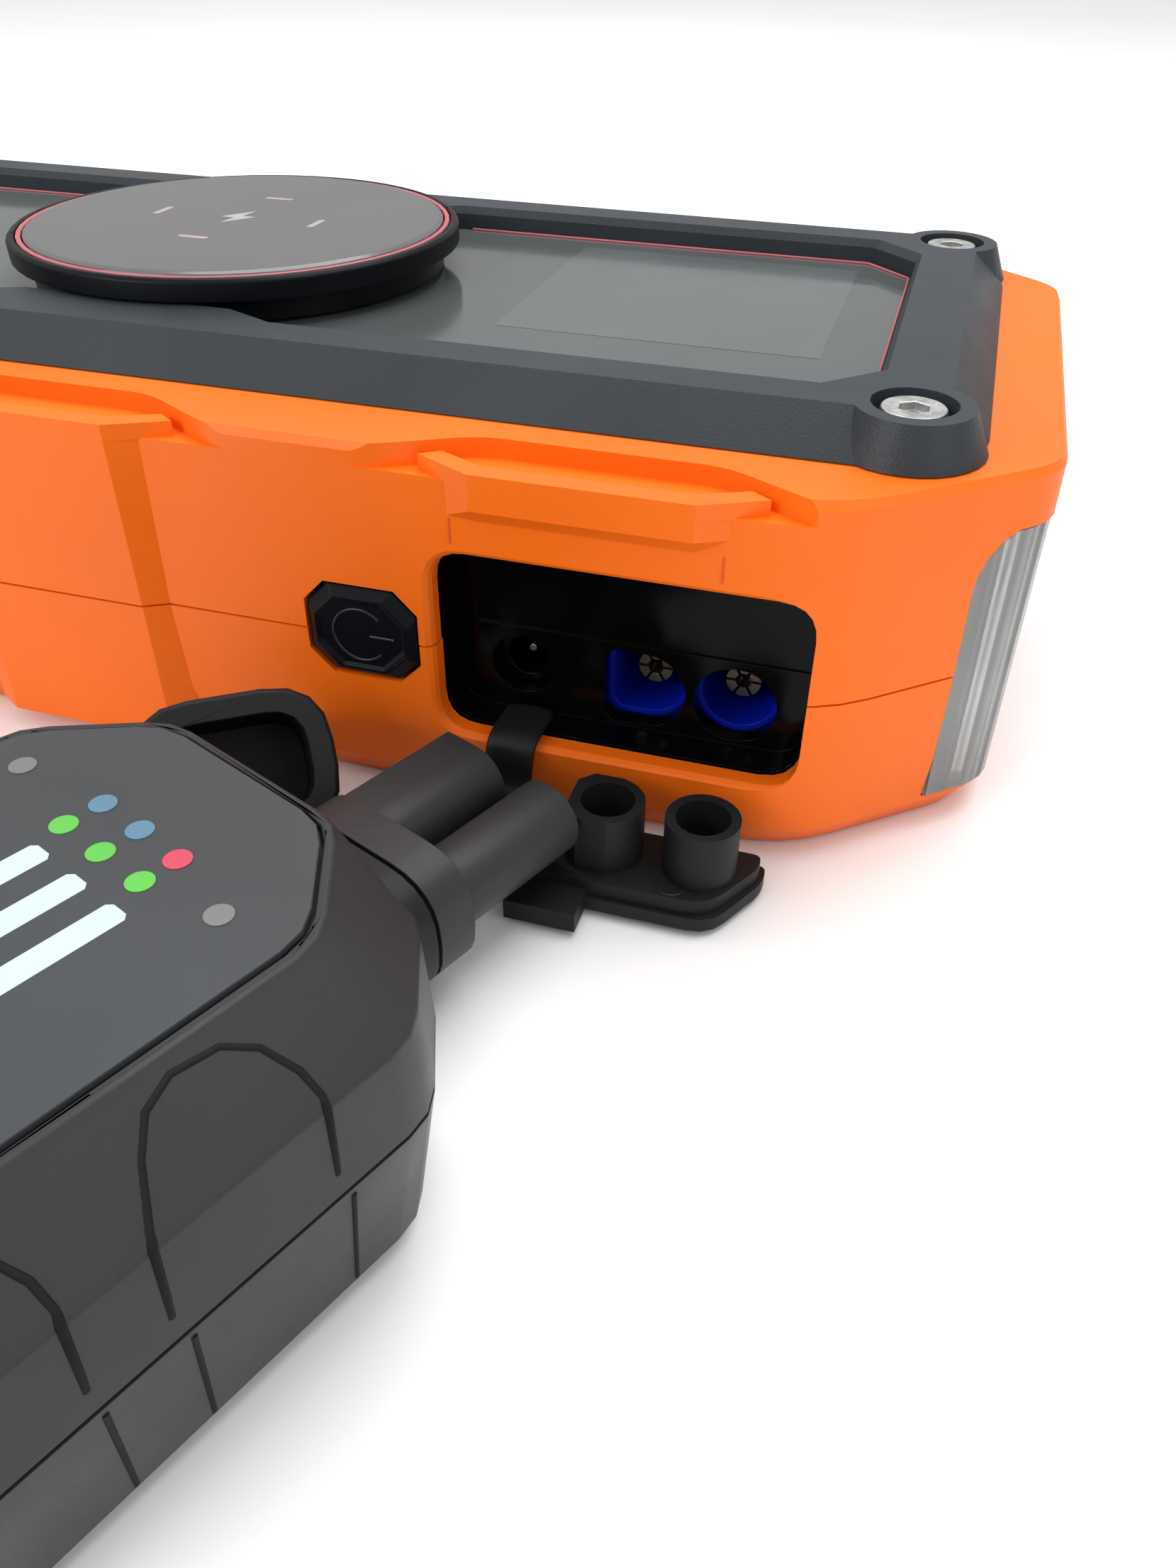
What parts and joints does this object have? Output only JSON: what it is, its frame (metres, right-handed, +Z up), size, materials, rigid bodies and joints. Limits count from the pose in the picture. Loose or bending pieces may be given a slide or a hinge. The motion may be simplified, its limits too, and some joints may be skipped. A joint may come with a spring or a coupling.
{
  "type": "jump starter pack",
  "caption": "Portable vehicle jump starter with a charging pad, screen, work light and jump sockets, and its smart cable module lying beside it.",
  "frame": {"origin": "centre of the pack's flat underside, on the surface it stands on", "axes": "+X along the pack towards the work light, +Z up, -Y out of the side with the sockets"},
  "size_m": [0.265, 0.2458, 0.0624],
  "materials": {
    "orange_shell": "fine matte moulded",
    "black_rubber": "soft matte",
    "bezel_plastic": "fine grain",
    "screw_steel": "bright",
    "smoked_panel": "smoky gloss",
    "pad_gloss": "gloss",
    "red_trim": "satin",
    "black_plastic": "satin",
    "gloss_black": "gloss",
    "blue_plastic": "satin",
    "contact_metal": "dull",
    "ferrite": "matte",
    "clear_lens": "clear fluted",
    "white_plastic": "satin",
    "led_phosphor": "matte",
    "circuit_board": "satin",
    "cell_wrap": "shrink film",
    "module_plastic": "satin",
    "panel_film": "smooth film"
  },
  "bodies": {
    "pack": {"battery_cell_1": "cell_wrap", "battery_cell_2": "cell_wrap", "battery_cell_3": "cell_wrap", "battery_tray": "gloss_black", "bezel_frame": "bezel_plastic", "bezel_screw_1": "screw_steel", "bezel_screw_2": "screw_steel", "bezel_screw_3": "screw_steel", "bezel_screw_4": "screw_steel", "bus_bar_front": "contact_metal", "bus_bar_rear": "contact_metal", "charging_coil": "contact_metal", "display_module": "gloss_black", "ferrite_disc": "ferrite", "glass_panel": "smoked_panel", "jack_barrel": "gloss_black", "jack_pin": "screw_steel", "light_board": "circuit_board", "light_chip_1": "led_phosphor", "light_chip_2": "led_phosphor", "light_chip_3": "led_phosphor", "light_chip_4": "led_phosphor", "light_lens": "clear_lens", "light_reflector": "white_plastic", "lower_shell": "orange_shell", "main_board": "circuit_board", "pad_base": "black_plastic", "pad_ring": "red_trim", "pad_top": "pad_gloss", "port_insert": "gloss_black", "rubber_foot_1": "black_rubber", "rubber_foot_2": "black_rubber", "rubber_foot_3": "black_rubber", "rubber_foot_4": "black_rubber", "socket_contact_d": "contact_metal", "socket_contact_round": "contact_metal", "socket_housing": "blue_plastic", "strap_root": "black_rubber", "tact_switch": "gloss_black", "upper_shell": "orange_shell"},
    "button": {"power_button": "black_plastic"},
    "port_cover": {"port_flap": "black_rubber", "strap_tail": "black_rubber"},
    "cable_module": {"cable_gland_left": "black_rubber", "cable_gland_right": "black_rubber", "cap_tether": "black_rubber", "module_board": "circuit_board", "module_bottom": "module_plastic", "module_panel": "panel_film", "module_top": "module_plastic", "plug_contact_d": "contact_metal", "plug_contact_round": "contact_metal", "plug_housing": "module_plastic"},
    "cap": {"plug_cap": "black_rubber"}
  },
  "joints": [
    {"name": "button_press", "type": "slide", "parent": "pack", "child": "button", "axis": [0, 1, 0], "range_m": [0, 0.001], "stiffness_N_per_m": 800, "springref_m": -0.0005},
    {"name": "cover_swing", "type": "hinge", "parent": "pack", "child": "port_cover", "pos_m": [0.0695, -0.0576, 0.006], "axis": [-1, 0, 0], "range_deg": [0, 90]},
    {"name": "module_draw", "type": "slide", "parent": "pack", "child": "cable_module", "axis": [-0.3923, -0.9198, 0], "range_m": [0, 0.12]},
    {"name": "cap_swing", "type": "hinge", "parent": "cable_module", "child": "cap", "pos_m": [0.0508, -0.0833, 0.011], "axis": [0.3923, 0.9198, 0], "range_deg": [0, 25]}
  ],
  "couplings": [
    {"joint": "cover_swing", "follows": "module_draw", "rad_per_m": 13.08}
  ]
}
